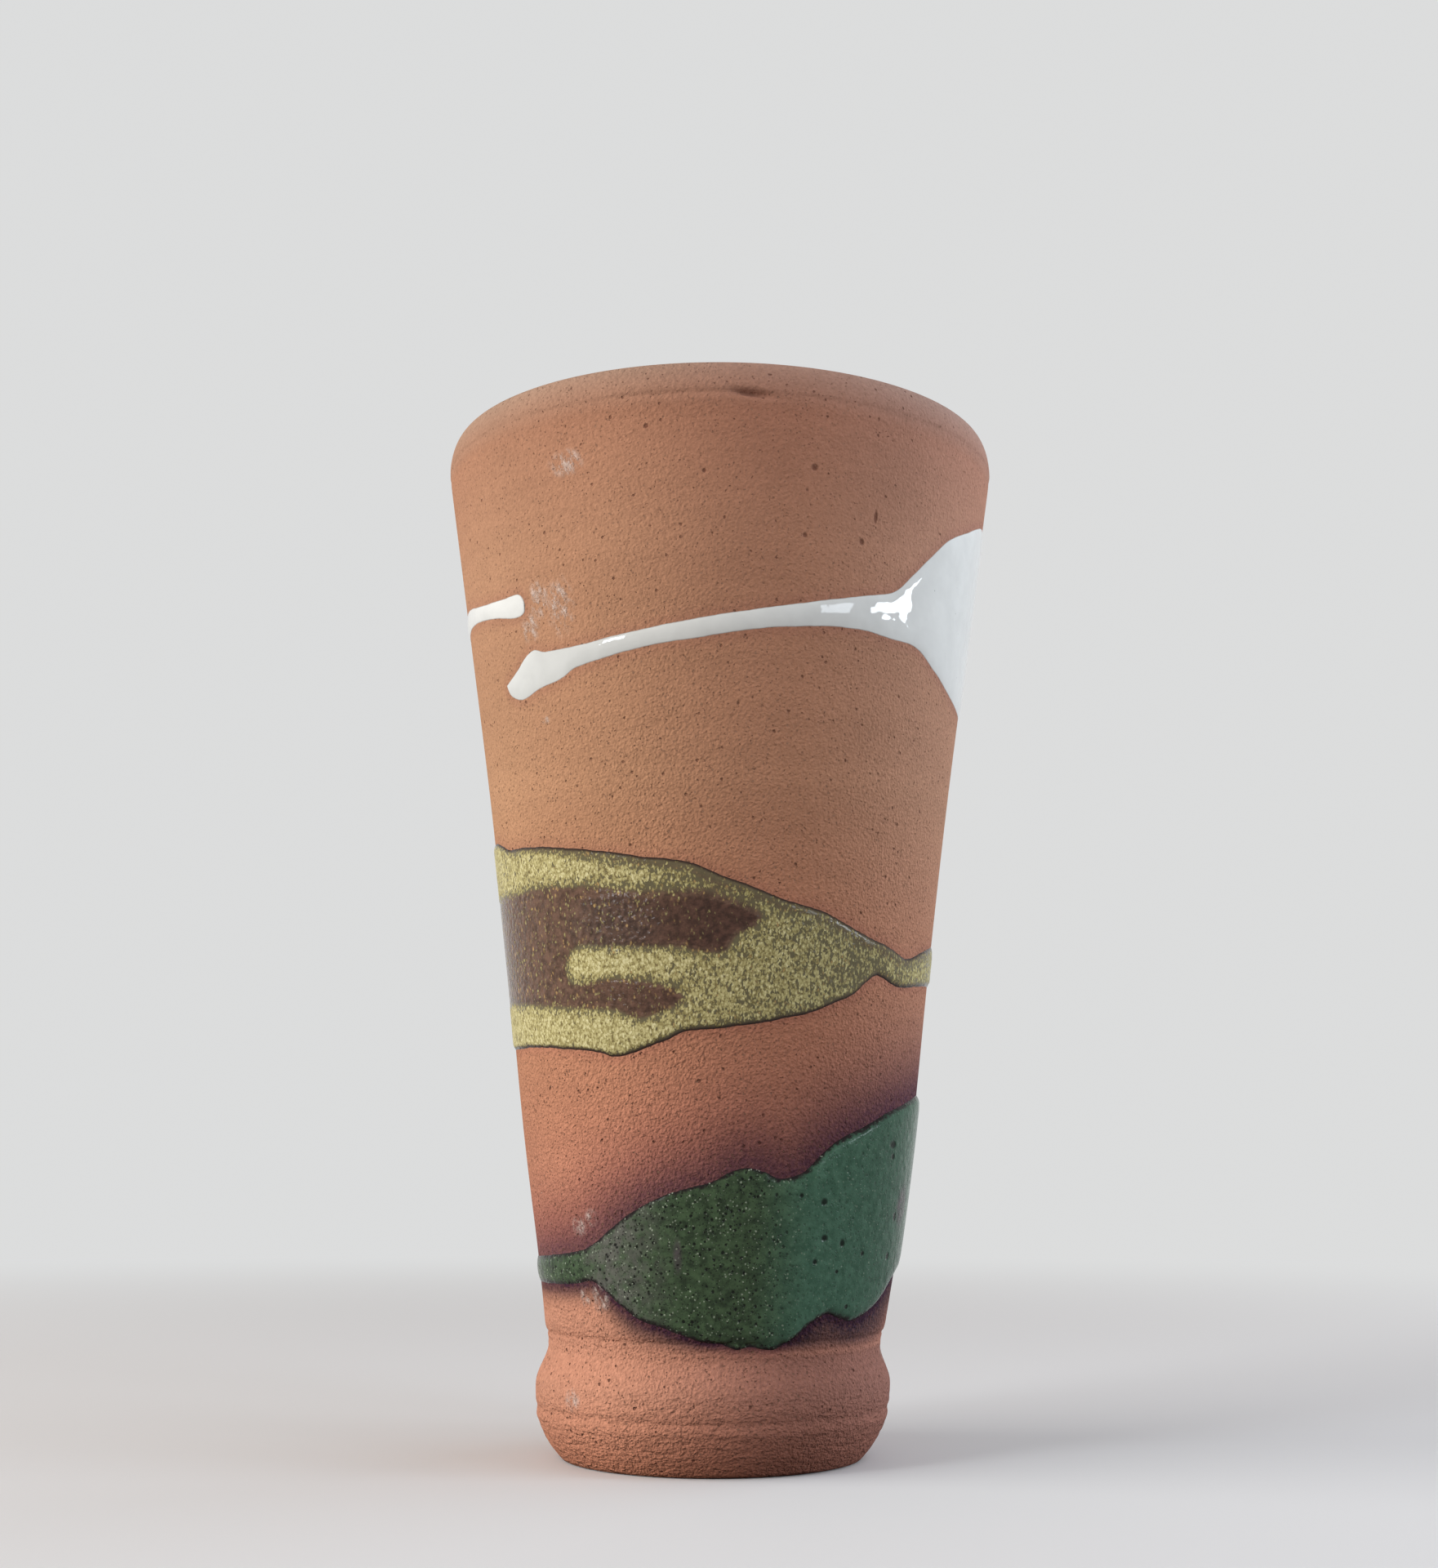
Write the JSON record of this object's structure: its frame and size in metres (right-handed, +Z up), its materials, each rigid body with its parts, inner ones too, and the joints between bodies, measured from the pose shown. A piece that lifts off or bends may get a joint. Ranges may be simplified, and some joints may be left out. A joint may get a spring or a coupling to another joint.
{
  "type": "pottery vase",
  "caption": "Wheel-thrown flaring vase of grogged red clay on a rolled foot, with poured white, ochre, brown and green glazes; holds flowers or water.",
  "frame": {"origin": "centre of the flat base, on the surface the vase stands on", "axes": "+Z up along the turning axis, front of the pot towards -Y, +X to the right seen from the front"},
  "size_m": [0.1118, 0.1118, 0.2],
  "materials": {
    "clay": "unglazed grogged stoneware, matte",
    "liner": "pale gloss liner glaze",
    "white": "opaque white gloss glaze",
    "brown": "dark brown gloss glaze",
    "ochre": "granular yellow-ochre crystal glaze",
    "green": "dark green gloss glaze with pinholes"
  },
  "bodies": {
    "root": {"clay_body": "clay", "liner_glaze": "liner", "white_glaze": "white", "brown_glaze": "brown", "ochre_glaze": "ochre", "green_glaze": "green"}
  },
  "joints": []
}
